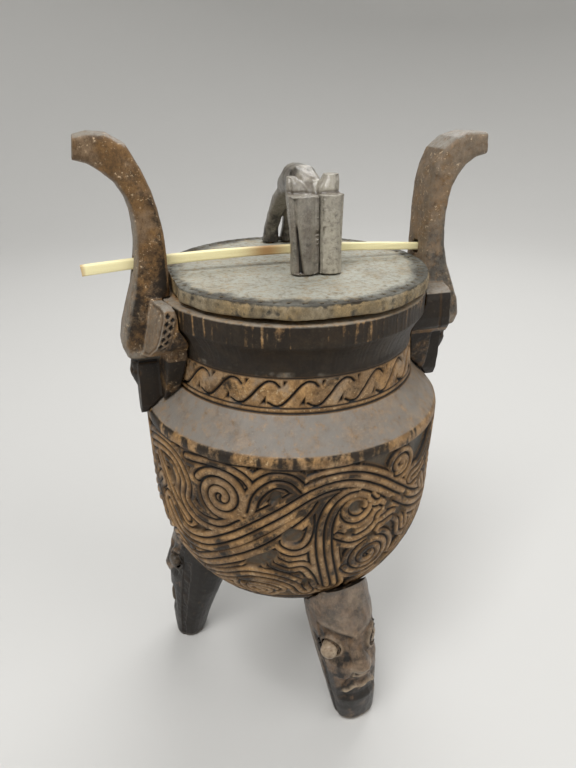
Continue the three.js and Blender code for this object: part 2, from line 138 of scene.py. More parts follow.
# Lid
LID_CENTRE = (1.3, -0.8)
LID_RADIUS = 62.4
LID_TOP_Z = 243
LID_EDGE_LOW_Z = 235
NOTCH_COUNT = 64
NOTCH_INSET = 4.6
EDGE_NOISE_RADIUS = 62

# Figure's front columns: middle and half width of each, their seam, and the ledge over the lid
COLUMNS = [(-0.2, 6.0), (11.4, 5.2)]
SEAM_X = 6.0
SEAM_REACH = 2.4
LEDGE_HEIGHT = 34.2

# Stage: a round floor with a curved sweep up to a wall
FLOOR_RADIUS = 1200
FLOOR_RING = 600
SWEEP = 900
WALL_HEIGHT = 2400
WALL_COLUMNS = 72

# Light: the height that the lights aim at; for each light its watts, size in metres, azimuth,
# elevation and distance in metres; and the world's strength on the object and before the camera
LIGHT_AIM_Z = 160
LIGHTS = {
    "key": (15, 0.6, CAMERA_AZIMUTH - 25, 60, 1.5),
    "fill": (6, 0.9, CAMERA_AZIMUTH + 62, 38, 1.5),
    "back": (13, 1.0, CAMERA_AZIMUTH + 165, 52, 1.5),
    "wash": (10, 2.4, CAMERA_AZIMUTH + 20, 75, 2.8),
}
WORLD_LIGHT = 0.06
WORLD_SEEN = 0.95

# Colours in sRGB
# Painted shade: the sunk ground's grey, partly its own tone, and the near black in the cuts
GROUND_TONE_AND_SHADE_COLOUR = "#494741"
CUT_SHADE_COLOUR = "#0e0b08"
# Painted sheen: the grey of a satin reflection, laid into the colour
PAINTED_SHEEN_COLOUR = "#7f7a73"
PAPER_COLOUR = "#cfcecb"
WORLD_COLOUR = "#e6e6e7"

# Fields that the carved meshes carry: cuts and sunk ground, darkened with painted shade;
# blackening, partly painted shade; pale dust, partly painted highlight; and painted sheen
FIELDS = ("cut", "char", "pale", "sheen", "ground")
WOOD_IOR = 1.5


# Numbers and noise
def smooth(low, high, x):
    """From 0 at low to 1 at high in a smooth step. Low may be above high."""
    t = np.clip((x - low) / (high - low), 0, 1)
    return t * t * (3 - 2 * t)


def bell(x, width):
    """1 where x is 0, falling away on both sides."""
    return np.exp(-((x / width) ** 2))


def noise(points, scale, seed, octaves=3):
    """Smooth random waves of about the given size, from -1 to 1."""
    rng = np.random.default_rng(seed)
    total = np.zeros(len(points))
    weight = 1.0
    for _ in range(octaves):
        for _ in range(8):
            direction = rng.normal(size=3)
            direction /= np.linalg.norm(direction)
            frequency = 2 * math.pi / (scale * rng.uniform(0.7, 1.5))
            phase = rng.uniform(0, 2 * math.pi)
            total += weight * np.sin(points @ direction * frequency + phase) / 4
        scale /= 2.1
        weight *= 0.5
    return np.clip(total / 2, -1, 1)


# Materials
def linear(hex_colour):
    """An sRGB hex colour as linear RGBA."""
    parts = [int(hex_colour[i:i + 2], 16) / 255 for i in (1, 3, 5)]
    return (*[c / 12.92 if c <= 0.04045 else ((c + 0.055) / 1.055) ** 2.4 for c in parts], 1.0)


def add_node(owner, kind, inputs=None, **settings):
    """Adds a node to a material or world. An input is linked if it is a socket, and set if not."""
    tree = owner.node_tree
    node = tree.nodes.new(kind)
    for key, value in settings.items():
        setattr(node, key, value)
    for key, value in (inputs or {}).items():
        if isinstance(value, bpy.types.NodeSocket):
            tree.links.new(value, node.inputs[key])
        else:
            node.inputs[key].default_value = value
    return node


def new_material(name):
    material = bpy.data.materials.new(name)
    material.use_nodes = True
    material.node_tree.nodes.clear()
    return material


def spots(material, size_mm, detail=4.0, roughness=0.55, finer=(1, 1, 1)):
    """Noise with spots of about the given size, so many times finer along x, y and z."""
    place = add_node(material, "ShaderNodeTexCoord").outputs["Object"]
    mapping = add_node(material, "ShaderNodeMapping", {"Vector": place, "Scale": finer})
    inputs = {"Scale": 1 / (size_mm * MM), "Detail": detail, "Roughness": roughness}
    inputs["Vector"] = mapping.outputs["Vector"]
    return add_node(material, "ShaderNodeTexNoise", inputs).outputs["Fac"]


def weighted(material, first, first_share, second, second_share):
    """The sum of two values, each times its share."""
    inputs = {0: first, 1: first_share}
    part = add_node(material, "ShaderNodeMath", inputs, operation="MULTIPLY").outputs[0]
    inputs = {0: second, 1: second_share, 2: part}
    return add_node(material, "ShaderNodeMath", inputs, operation="MULTIPLY_ADD").outputs[0]


def overlay(material, under, over, value, low, high, most=1.0, step="SMOOTHSTEP"):
    """Lays one colour over another as value goes from low to high, up to the share in most."""
    inputs = {"Value": value, "From Min": low, "From Max": high, "To Max": most}
    share = add_node(material, "ShaderNodeMapRange", inputs, interpolation_type=step)
    inputs = {0: share.outputs["Result"], 6: under, 7: over}
    return add_node(material, "ShaderNodeMix", inputs, data_type="RGBA").outputs[2]


def finished(material, colour, roughness, height=None, bump_mm=0.1, shine=0.5):
    """Gives a material its shader. A height becomes a bump that is bump_mm deep."""
    inputs = {"Base Color": colour, "Roughness": roughness, "IOR": WOOD_IOR}
    inputs["Specular IOR Level"] = shine
    if height is not None:
        bumps = {"Height": height, "Distance": bump_mm * MM, "Strength": 0.6}
        inputs["Normal"] = add_node(material, "ShaderNodeBump", bumps).outputs["Normal"]
    shader = add_node(material, "ShaderNodeBsdfPrincipled", inputs)
    add_node(material, "ShaderNodeOutputMaterial", {"Surface": shader.outputs["BSDF"]})
    return material


def wood(name, light, dark, char, speckle, dust_and_highlight,
         grain, roughness, bump_mm, dots, mottle, shine=0.32):
    """Knife-carved wood: two tones with pores, flecks and stains, then the mesh's own fields.

    The grain is so many times finer than 1 mm along x, y and z. That is too fine to show as
    lines, so it only breaks up the tone and the bump."""
    material = new_material(name)
    light, dark, char, speckle, dust_and_highlight = (linear(tone) for tone in (light, dark, char, speckle, dust_and_highlight))
    field = {}
    for key in FIELDS:
        field[key] = add_node(material, "ShaderNodeAttribute", attribute_name=key).outputs["Fac"]
    tooth = spots(material, 1.0, 5.0, 0.6, grain)
    fine = spots(material, 1.3, 5.0, 0.75)

    # Two tones, with dust in the lighter one
    tone = weighted(material, tooth, 0.45, spots(material, 7.0, 6.0, 0.7), 0.55)
    worn = overlay(material, light, dust_and_highlight, spots(material, 15.0, 4.0, 0.6), 0.45, 0.6, 0.35)
    colour = overlay(material, dark, worn, tone, 0.38, 0.62)

    # Dark pores, pale flecks in clusters, and small charred stains
    pores = spots(material, 0.7, 3.0, 0.7, (1, 1, 0.5))
    colour = overlay(material, colour, dark, pores, 0.5, 0.66, 0.45)
    patches = spots(material, 8.0, 3.0)
    inputs = {"Value": patches, "From Min": 0.42, "From Max": 0.58, "To Max": dots}
    clusters = add_node(material, "ShaderNodeMapRange", inputs, interpolation_type="SMOOTHSTEP")
    flecks = spots(material, 1.3, 4.0, 0.7)
    colour = overlay(material, colour, speckle, flecks, 0.57, 0.65, clusters.outputs["Result"])
    stains = spots(material, 2.2, 6.0, 0.8, (1, 1, 0.6))
    colour = overlay(material, colour, char, stains, 0.5, 0.72, mottle)

    # Blackened patches with ragged edges, in places painted shade; broken spots of dust, in places
    # painted highlight; and a grey painted sheen
    ragged = weighted(material, field["char"], 1.0, spots(material, 5.0, 7.0, 0.8), 2.2)
    colour = overlay(material, colour, char, ragged, 1.32, 1.88, 0.94)
    specks = spots(material, 2.2, 6.0, 0.75)
    colour = overlay(material, colour, dust_and_highlight, specks, 0.25, 0.6, field["pale"])
    spread = spots(material, 4.0, 6.0, 0.75)
    inputs = {"Value": spread, "From Min": 0.2, "From Max": 0.55, "To Max": field["sheen"]}
    painted_sheen_range = add_node(material, "ShaderNodeMapRange", inputs, interpolation_type="SMOOTHSTEP")
    painted_sheen = painted_sheen_range.outputs["Result"]
    colour = overlay(material, colour, linear(PAINTED_SHEEN_COLOUR), painted_sheen, 0, 1, 0.92, "LINEAR")

    # Sunk ground, darker partly by its own grey tone and partly as painted shade, and cuts that
    # darken towards their middle as painted shade
    colour = overlay(material, colour, linear(GROUND_TONE_AND_SHADE_COLOUR), field["ground"], 0, 1, 0.85, "LINEAR")
    colour = overlay(material, colour, dark, field["cut"], 0.02, 0.4, 0.6)
    colour = overlay(material, colour, linear(CUT_SHADE_COLOUR), field["cut"], 0.3, 0.85)

    inputs = {"Value": fine, "To Min": roughness[0], "To Max": roughness[1]}
    rough = add_node(material, "ShaderNodeMapRange", inputs).outputs["Result"]
    rough = weighted(material, rough, 1.0, painted_sheen, -0.15)
    height = weighted(material, tooth, 0.7, fine, 0.5)
    return finished(material, colour, rough, height, bump_mm, shine)


def split_bamboo():
    """Split bamboo: a pale yellow strip with a low satin gloss, brown where handled and in cracks.

    Its fibres are too fine to show as lines. They only break up the tone and the bump."""
    material = new_material("split_bamboo")
    fibres = spots(material, 1.0, 4.0, 0.6, (25, 1600, 900))
    colour = overlay(material, linear("#fbeaa8"), linear("#fffcd6"), fibres, 0.3, 0.75)
    char = add_node(material, "ShaderNodeAttribute", attribute_name="char").outputs["Fac"]
    cut = add_node(material, "ShaderNodeAttribute", attribute_name="cut").outputs["Fac"]
    colour = overlay(material, colour, linear("#a9743c"), char, 0, 1, 1.0, "LINEAR")
    colour = overlay(material, colour, linear("#7c6238"), cut, 0.1, 0.9)
    return finished(material, colour, 0.5, fibres, 0.08)


def raw_wood():
    """Whittled peg wood with no finish: matt tan with soft spots."""
    material = new_material("raw_peg_wood")
    colour = overlay(material, linear("#8d6f4b"), linear("#a98a61"), spots(material, 2.0), 0.3, 0.8)
    return finished(material, colour, 0.8, spots(material, 0.6), 0.05)


# Carved hardwood, charred and rubbed back: warm satin ridges, with black painted shade in the cuts
POT_WOOD = wood(
    "charred_carved_wood", light="#bd9563", dark="#624729", char="#120e0a",
    speckle="#cfb58c", dust_and_highlight="#8f877a",
    grain=(300, 300, 60), roughness=(0.36, 0.6), bump_mm=0.18, dots=0.8, mottle=0.6)
# Chopped board, dry and dusty: matt grey in the middle and dark towards the edge
LID_WOOD = wood(
    "dusty_grey_wood", light="#a38a60", dark="#62543c", char="#211c16",
    speckle="#bba27a", dust_and_highlight="#a2a297",
    grain=(60, 500, 300), roughness=(0.6, 0.85), bump_mm=0.14, dots=0.5, mottle=0.4)
# Carved hardwood, worn by hands: red-brown satin with pale flecks and grey dust
HANDLE_WOOD = wood(
    "worn_brown_wood", light="#8f6b40", dark="#4c3822", char="#140f0a",
    speckle="#e0c6a2", dust_and_highlight="#8a857b",
    grain=(400, 400, 60), roughness=(0.36, 0.6), bump_mm=0.18, dots=0.9, mottle=0.35)
# Carved hardwood, smoked and oiled: near black with a soft gloss, brown where it is rubbed
LEG_WOOD = wood(
    "blackened_mask_wood", light="#85694f", dark="#35291e", char="#0d0b09",
    speckle="#9a8468", dust_and_highlight="#b09d85",
    grain=(300, 300, 50), roughness=(0.26, 0.42), bump_mm=0.18, dots=0.5, mottle=0.6, shine=0.4)
# Carved hardwood, polished by handling: steel grey with a clear gloss
FIGURE_WOOD = wood(
    "rubbed_grey_wood", light="#8a857b", dark="#55493d", char="#1d1813",
    speckle="#9c8f78", dust_and_highlight="#b3ac9b",
    grain=(300, 300, 60), roughness=(0.2, 0.4), bump_mm=0.1, dots=0.4, mottle=0.5, shine=0.7)
PEG_WOOD = raw_wood()
BAMBOO = split_bamboo()


# Meshes
def grid_faces(rows, columns):
    """Quads of a closed grid: each row of points runs right round."""
    i = np.arange(rows - 1)[:, None] * columns
    j = np.arange(columns)[None, :]
    k = (j + 1) % columns
    return np.stack([i + j, i + k, i + columns + k, i + columns + j], -1).reshape(-1, 4)


def mesh_piece(name, points, faces, material):
    mesh = bpy.data.meshes.new(name)
    mesh.from_pydata((np.asarray(points) * MM).tolist(), [], faces.tolist())
    mesh.validate()
    mesh.materials.append(material)
    mesh.polygons.foreach_set("use_smooth", [True] * len(mesh.polygons))
    mesh.update()
    piece = bpy.data.objects.new(name, mesh)
    bpy.context.scene.collection.objects.link(piece)
    return piece


def set_fields(piece, **fields):
    """Sets fields of the mesh, each one value for each point."""
    attributes = piece.data.attributes
    for key, values in fields.items():
        attribute = attributes.get(key) or attributes.new(key, "FLOAT", "POINT")
        attribute.data.foreach_set("value", np.asarray(values, np.float32))


def points_of(piece):
    values = np.zeros(len(piece.data.vertices) * 3, np.float32)
    piece.data.vertices.foreach_get("co", values)
    return values.reshape(-1, 3).astype(float) / MM


def normals_of(piece):
    values = np.zeros(len(piece.data.vertices) * 3, np.float32)
    piece.data.vertices.foreach_get("normal", values)
    return values.reshape(-1, 3).astype(float)


def move_points(piece, points):
    piece.data.vertices.foreach_set("co", (points * MM).astype(np.float32).ravel())
    piece.data.update()


def carve(piece, depth, **fields):
    """Sinks the piece's skin by depth along its normals and sets its fields."""
    move_points(piece, points_of(piece) - normals_of(piece) * np.maximum(depth, 0)[:, None])
    set_fields(piece, **fields)


def stand_in(piece, body, node):
    """Makes the piece stand for a node of the model and move with its body."""
    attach(piece, body)
    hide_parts(node)


def worked(name, node, material, voxel, rounds, amount, seed):
    """A node's solid remade as a fine mesh, with soft edges and small dents up to amount deep."""
    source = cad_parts[node].data
    rough_mesh = bpy.data.meshes.new(name)
    faces = [tuple(face.vertices) for face in source.polygons]
    rough_mesh.from_pydata([tuple(vertex.co) for vertex in source.vertices], [], faces)
    piece = bpy.data.objects.new(name, rough_mesh)
    bpy.context.scene.collection.objects.link(piece)
    remesh = piece.modifiers.new("remesh", "REMESH")
    remesh.mode = "VOXEL"
    remesh.voxel_size = voxel * MM
    soft = piece.modifiers.new("soft", "SMOOTH")
    soft.factor = 0.5
    soft.iterations = rounds
    graph = bpy.context.evaluated_depsgraph_get()
    made = bpy.data.meshes.new_from_object(piece.evaluated_get(graph))
    piece.modifiers.clear()
    piece.data = made
    bpy.data.meshes.remove(rough_mesh)
    made.name = name
    made.materials.clear()
    made.materials.append(material)
    made.polygons.foreach_set("use_smooth", [True] * len(made.polygons))
    points = points_of(piece)
    dents = amount * (0.5 + 0.5 * noise(points, 9, seed, 2))
    carve(piece, dents, **{key: np.zeros(len(points)) for key in FIELDS})
    return piece


def outline_distance(u, v, outline):
    """Distance in the plane from points to an open outline."""
    best = np.full(len(u), np.inf)
    for (au, av), (bu, bv) in zip(outline, outline[1:]):
        su = bu - au
        sv = bv - av
        t = np.clip(((u - au) * su + (v - av) * sv) / (su * su + sv * sv), 0, 1)
        best = np.minimum(best, np.hypot(u - au - t * su, v - av - t * sv))
    return best


# Lines over the belly, as (degrees round the pot, z)
def belly_radius(z):
    low = np.sqrt(np.maximum(BELLY_RADIUS ** 2 - (BELLY_CENTRE_Z - z) ** 2, 1.0))
    high = BELLY_RADIUS + BELLY_FLARE * np.clip((z - BELLY_CENTRE_Z) / BELLY_FLARE_HEIGHT, 0, 1)
    return np.where(z < BELLY_CENTRE_Z, low, high)


def on_belly(degrees, z):
    """Points on the belly's surface."""
    angle = np.radians(degrees)
    height = np.asarray(z, float)
    radius = belly_radius(height)
    return np.stack([radius * np.cos(angle), radius * np.sin(angle), height], -1)


def curve(controls, per_span=10):
    """A smooth curve through control points."""
    p = np.array(controls, float)
    p = np.vstack([2 * p[0] - p[1], p, 2 * p[-1] - p[-2]])
    t = np.linspace(0, 1, per_span, endpoint=False)[:, None]
    spans = []
    for a, b, c, d in zip(p, p[1:], p[2:], p[3:]):
        square = 2 * a - 5 * b + 4 * c - d
        cube = 3 * b - a - 3 * c + d
        spans.append(0.5 * (2 * b + (c - a) * t + square * t ** 2 + cube * t ** 3))
    return np.vstack([*spans, p[-2]])


def spiral(centre, outer, inner, turns, start, squash=1.0):
    """A spiral in to its centre. Negative turns run clockwise, seen from outside."""
    t = np.linspace(0, 1, 60)
    angle = np.radians(start) + 2 * math.pi * turns * t
    r = outer + (inner - outer) * t ** 0.9
    degrees = np.degrees(r * np.cos(angle) / belly_radius(np.array(centre[1], float)))
    return np.stack([centre[0] + degrees, centre[1] + squash * r * np.sin(angle)], 1)


def band(lanes, width, lift, *controls):
    """A stroke of parallel ridges: its lanes, their width, its lift over others, and its line."""
    return lanes, width, lift, curve(controls)


def scroll(width, lift, *shape, **options):
    """A stroke of one ridge that winds into a spiral."""
    return 1, width, lift, spiral(*shape, **options)


# Strokes of the belly's carving. Where strokes meet, a higher lift helps one to lie on top
STROKES = [
    band(2, 4.4, 1.8, (-158, 111), (-146, 113), (-132, 123.5), (-119, 134), (-109, 144),
         (-102, 152), (-98.5, 159)),
    band(3, 4.1, 2.0, (-161, 139), (-153, 127.5), (-142, 128), (-130, 136.5), (-119.5, 146),
         (-110, 154.5), (-101, 162.5), (-93, 166), (-85, 165), (-76, 159), (-66, 149.5),
         (-54, 139), (-38, 133)),
    scroll(4.4, 0.6, (-133, 157.5), 13.2, 2.2, -2.5, 150),
    band(2, 3.8, 0.9, (-174, 165), (-164, 169), (-154, 168), (-149, 158), (-150, 148), (-144, 141),
         (-134, 140.5), (-126, 147)),
    band(1, 3.8, 0.8, (-147, 172.5), (-134, 174), (-124, 170), (-120.5, 161), (-124, 151)),
    band(2, 3.9, 1.2, (-123, 152), (-120.5, 162), (-114.5, 169.5), (-108.5, 169.5), (-104, 164)),
    band(1, 3.8, 0.6, (-116.5, 153), (-112.5, 160.5), (-107.5, 160)),
    band(3, 3.7, 1.4, (-92, 104), (-95, 118), (-97, 132), (-97, 146), (-94, 156.5), (-88, 162.5),
         (-80, 161.5), (-75, 155)),
    scroll(4.0, 0.7, (-84, 152.5), 8.0, 4.4, -1.2, 70),
    band(1, 3.8, 0.7, (-91, 139), (-85, 135.5), (-78, 137.5), (-72.5, 145), (-71, 153)),
    scroll(4.1, 0.7, (-77, 122), 12.8, 2.0, 2.6, 200, squash=0.95),
    band(2, 3.6, 1.3, (-99.5, 153), (-99.5, 144), (-102, 136), (-107, 133.5), (-111.5, 137),
         (-110.5, 144)),
    band(2, 3.8, 0.9, (-116, 127), (-109, 122.5), (-103, 123), (-99, 116), (-96, 106)),
    band(2, 3.9, 0.8, (-146, 103), (-134, 110), (-124, 116.5), (-113, 116), (-105, 110),
         (-101, 101)),
    scroll(3.8, 0.5, (-122, 101), 10, 1.8, 2.2, 20, squash=0.6),
    scroll(3.8, 0.6, (-65, 167), 5.6, 1.5, 1.5, 250, squash=0.8),
    band(2, 3.8, 0.6, (-57, 155), (-50, 156), (-43, 162), (-38, 171)),
    band(2, 4.0, 1.0, (-47, 148), (-44, 139), (-50, 126), (-57, 115), (-66, 105.5), (-76, 99)),
    band(2, 3.7, 0.8, (-73, 143), (-66, 144), (-60, 138), (-58, 129)),
    band(2, 4.0, 1.0, (-180, 165), (-174, 151), (-168, 139), (-162, 126), (-152, 119)),
    band(1, 3.8, 0.7, (-166, 165), (-161, 155), (-156, 145), (-149, 137)),
    band(2, 4.0, 0.6, (-180, 112), (-170, 106), (-158, 99), (-146, 95.5), (-128, 94)),
    scroll(4.2, 0.6, (-14, 155), 12, 2.2, 2.4, 210),
    band(2, 4.0, 1.0, (-44, 160), (-32, 168), (-18, 171), (-3, 167), (3, 154), (-4, 141),
         (-18, 137)),
    band(2, 4.3, 1.6, (-44, 117), (-30, 123), (-14, 127), (2, 135), (14, 149)),
    scroll(4.0, 0.6, (-28, 107), 10, 2.0, -2.2, 120, squash=0.8),
    band(2, 4.0, 0.8, (-44, 98), (-28, 95), (-10, 101), (6, 111), (20, 123)),
    band(1, 3.8, 0.6, (-38, 149), (-30, 145), (-30, 135)),
]

# Deep pockets between the strokes: degrees round the pot, z, half width, half height, and slant
POCKETS = [
    (-84, 152.5, 3.2, 3.4, 0), (-107, 141, 5.0, 3.8, 25), (-118.5, 126, 9.5, 3.6, 35),
    (-76.5, 133.5, 2.6, 2.2, 0), (-62, 139, 4.6, 2.6, -35), (-69, 148, 2.8, 3.4, -30),
    (-158, 156, 2.6, 5.2, 15), (-101.5, 110, 2.2, 4.0, -20), (-67, 112, 3.2, 4.0, -40),
    (-144, 134.5, 4.6, 1.6, 30), (-113, 161.5, 2.4, 3.6, -30), (-60, 147, 2.6, 3.2, 0),
    (-86, 139.5, 2.4, 2.4, 0), (-99, 170.5, 4.0, 1.3, 20), (-128, 106, 3.0, 1.6, 0),
    (-8, 117, 4.0, 2.6, 10), (-34, 141, 2.6, 3.4, 0),
]


def stroke_distance(points, line):
    """Distance from each point to a line over the belly, infinite when far."""
    path = on_belly(line[:, 0], line[:, 1])
    low = path.min(0) - STROKE_REACH
    high = path.max(0) + STROKE_REACH
    near = np.flatnonzero(np.all((points > low) & (points < high), axis=1))
    found = np.full(len(points), np.inf)
    for start in range(0, len(near), POINTS_AT_ONCE):
        rows = near[start:start + POINTS_AT_ONCE]
        p = points[rows]
        best = np.full(len(rows), np.inf)
        for a, b in zip(path, path[1:]):
            step = b - a
            t = np.clip((p - a) @ step / max(step @ step, 1e-9), 0, 1)
            gap = p - a - t[:, None] * step
            best = np.minimum(best, np.einsum("ij,ij->i", gap, gap))
        found[rows] = np.sqrt(best)
    return found


def pocket_floor(points, degrees, z, wide, tall, slant):
    """Rows of the points near a pocket, and how far each is in its floor, from 0 to 1."""
    centre = on_belly(degrees, z)
    near = np.flatnonzero(np.linalg.norm(points - centre, axis=1) < STROKE_REACH)
    angle = math.radians(degrees)
    tilt = math.radians(slant)
    across = np.array([-math.sin(angle), math.cos(angle), 0])
    u = points[near] @ across - centre @ across
    v = points[near, 2] - z
    along_u = (u * math.cos(tilt) + v * math.sin(tilt)) / wide
    along_v = (v * math.cos(tilt) - u * math.sin(tilt)) / tall
    return near, smooth(1.15, 0.9, np.hypot(along_u, along_v))


def relief(points):
    """Depth of the belly's carving at points, and how far each is in a cut, sunk and shaded."""
    score = np.full(len(points), np.inf)
    outside = np.full(len(points), np.inf)
    lane_gap = np.full(len(points), 9.0)
    shade = np.zeros(len(points))
    for turn in (0, BACK_TURN):
        for index, (lanes, width, lift, line) in enumerate(STROKES):
            distance = stroke_distance(points, line + np.array([turn, 0]))
            over = distance - lanes * width / 2
            offset = distance / width + (0.5 if lanes % 2 else 0)
            gap = np.abs(offset - np.round(offset)) * width
            gap = np.where(over > 0, np.minimum(over, np.abs(over - ECHO_WIDTH)), gap)
            better = over - lift < score
            score = np.where(better, over - lift, score)
            outside = np.where(better, over, outside)
            lane_gap = np.where(better, gap, lane_gap)
            lane = np.floor(np.minimum(offset, 9)) + 3 * index
            shade = np.where(better, 0.22 * np.sin(2.1 * lane) + 0.12 * np.sin(5.3 * index), shade)
    ground = smooth(ECHO_WIDTH - 0.1, ECHO_WIDTH + 0.5, outside)
    for turn in (0, BACK_TURN):
        for degrees, *pocket in POCKETS:
            near, floor = pocket_floor(points, degrees + turn, *pocket)
            ground[near] = np.maximum(ground[near], floor)
    groove = bell(lane_gap, GROOVE_WIDTH) * (1 - ground)
    crown = 0.45 * np.clip(1 - lane_gap / 1.8, 0, 1) ** 2
    depth = ground * GROUND_DEPTH + (1 - ground) * (GROOVE_DEPTH * groove + crown)
    return depth, 0.7 * groove + 0.3 * bell(lane_gap, 1.3), ground, shade


# The S-shaped cut of one neck wave, as (share of a wave's length, share of the band's height)
WAVE_LINE = curve(
    [(-0.16, 0.16), (0.0, 0.06), (0.18, 0.10), (0.4, 0.36),
     (0.62, 0.68), (0.82, 0.86), (1.0, 0.84), (1.12, 0.70)],
    per_span=8)


def neck_waves(degrees, z):
    """Depth and cut of the neck's waves: for each a cut line, with a notch above and below it."""
    u = (degrees / 360 * WAVE_COUNT) % 1.0
    pitch = 2 * math.pi * NECK_TOP[0] / WAVE_COUNT
    height = NECK_BAND[1] - NECK_BAND[0]
    v = (z - NECK_BAND[0]) / height
    distance = np.full(len(u), np.inf)
    notch = np.zeros(len(u))
    for shift in (-1, 0, 1):
        x = u + shift
        for a, b in zip(WAVE_LINE, WAVE_LINE[1:]):
            step = (b - a) * [pitch, height]
            gap = np.stack([(x - a[0]) * pitch, (v - a[1]) * height], 1)
            t = np.clip(gap @ step / (step @ step), 0, 1)
            distance = np.minimum(distance, np.linalg.norm(gap - t[:, None] * step, axis=1))
        low = np.minimum(np.minimum(v, (0.80 - x) * 4), (x - 0.56 - 0.5 * v) * 4)
        high = np.minimum(np.minimum(1.0 - v, (x - 0.2) * 4), (0.40 - x - 0.5 * (1 - v)) * 4)
        notch = np.maximum(notch, smooth(0.0, 0.22, np.maximum(low, high)))
    cut = bell(distance, WAVE_CUT_WIDTH)
    inside = smooth(0.0, 0.03, v) * smooth(0.0, 0.03, 1 - v)
    return inside * np.maximum(cut, 1.2 * notch), inside * np.maximum(cut, notch)


# Pot
def spaced(points, step):
    """Points along a line at about the given spacing, keeping its corners."""
    out = [points[0]]
    for a, b in zip(points, points[1:]):
        count = max(1, int(round(math.dist(a, b) / step)))
        for i in range(1, count + 1):
            out.append((a[0] + (b[0] - a[0]) * i / count, a[1] + (b[1] - a[1]) * i / count))
    return out


def pot_profile():
    """The pot's section as (radius, z), from under the belly to the collar and down the inside."""
    arc = [(AXIS_RADIUS, BELLY_CENTRE_Z - BELLY_RADIUS)]
    for a in np.radians(range(-87, 0, 3)):
        arc.append((BELLY_RADIUS * math.cos(a), BELLY_CENTRE_Z + BELLY_RADIUS * math.sin(a)))
    bowl = [point for point in arc if point[1] <= RELIEF_LOW_Z - 4]
    belly = [point for point in arc if point[1] > RELIEF_LOW_Z - 4]
    top = BELLY_RADIUS + BELLY_FLARE
    belly += [(BELLY_RADIUS, BELLY_CENTRE_Z), (BELLY_RADIUS + 0.3, BELLY_CENTRE_Z + 20)]
    belly.append((top, BELLY_EDGE_Z - 7))
    edge = [(top - 0.1, BELLY_EDGE_Z - 2), (top - 0.5, BELLY_EDGE_Z - 0.5)]
    edge.append((top - 1.6, BELLY_EDGE_Z + 1.0))
    slope = ((9.2, 10.6), (6.6, 7.9), (4.2, 5.2), (1.8, 2.5))
    shoulder = [(NECK_LOW[0] + out, NECK_LOW[1] - down) for out, down in slope]
    neck = [(NECK_LOW[0] - 0.3, NECK_LOW[1]), NECK_TOP]
    cove = [(NECK_TOP[0] + out, NECK_TOP[1] + up) for out, up in ((0.5, 3), (1.5, 6), (2.9, 9))]
    collar = [(COLLAR_RADIUS - 0.6, COLLAR_LOW_Z - 0.6), (COLLAR_RADIUS - 0.1, COLLAR_LOW_Z + 0.2)]
    collar += [(COLLAR_RADIUS, COLLAR_TOP_Z - 1.2), (COLLAR_RADIUS - 0.5, COLLAR_TOP_Z - 0.3)]
    collar.append((COLLAR_RADIUS - 1.2, COLLAR_TOP_Z))
    mouth = [(MOUTH_RADIUS + 0.8, COLLAR_TOP_Z), (MOUTH_RADIUS + 0.1, COLLAR_TOP_Z - 0.9)]
    inside = [(MOUTH_RADIUS, MOUTH_FOOT_Z), (MOUTH_RADIUS + 4, MOUTH_FOOT_Z - 5)]
    inside += [(INSIDE_RADIUS - 2.5, INSIDE_TOP_Z + 11), (INSIDE_RADIUS, INSIDE_TOP_Z)]
    inside.append((INSIDE_RADIUS, BELLY_CENTRE_Z))
    for a in np.radians(range(10, 90, 10)):
        inside.append((INSIDE_RADIUS * math.cos(a), BELLY_CENTRE_Z - INSIDE_RADIUS * math.sin(a)))
    inside.append((AXIS_RADIUS, BELLY_CENTRE_Z - INSIDE_RADIUS))
    stretches = [(bowl[1:], 2), (belly, 0.55), (edge + shoulder, 0.9), (neck, 0.5)]
    stretches += [(cove + collar, 0.8), (mouth, 1.6), (inside, 4)]
    profile = arc[:1]
    for corners, step in stretches:
        profile += spaced([profile[-1], *corners], step)[1:]
    return profile


def pot_skin():
    """The pot's points and normals, with the depth that each point is sunk by and its fields."""
    profile = np.array(pot_profile())
    rows = len(profile)
    angle = np.tile(np.radians(np.arange(POT_COLUMNS) * 360 / POT_COLUMNS - 180), rows)
    tangent = np.gradient(profile, axis=0)
    tangent /= np.linalg.norm(tangent, axis=1)[:, None]
    r, z, out_r, out_z = (
        np.repeat(column, POT_COLUMNS) for column in (*profile.T, tangent[:, 1], -tangent[:, 0]))
    first_inner_row = int(np.argmax(profile[:, 1] >= COLLAR_TOP_Z - 0.01)) + 3
    p = np.stack([r * np.cos(angle), r * np.sin(angle), z], 1)
    return SimpleNamespace(
        rows=rows,
        angle=angle,
        z=z,
        p=p,
        n=np.stack([out_r * np.cos(angle), out_r * np.sin(angle), out_z], 1),
        outside=np.repeat(np.arange(rows) < first_inner_row, POT_COLUMNS),
        depth=0.3 + 0.22 * noise(p, 34, 1, 2) + 0.12 * noise(p, 4, 9, 2),
        **{key: np.zeros(len(p)) for key in FIELDS})


def line_cut(skin, zone, offset, depth, width, cut, cut_width):
    """A cut line in a zone of the pot's skin, where the offset is 0."""
    skin.depth += zone * depth * bell(offset, width)
    skin.cut = np.maximum(skin.cut, zone * cut * bell(offset, cut_width))


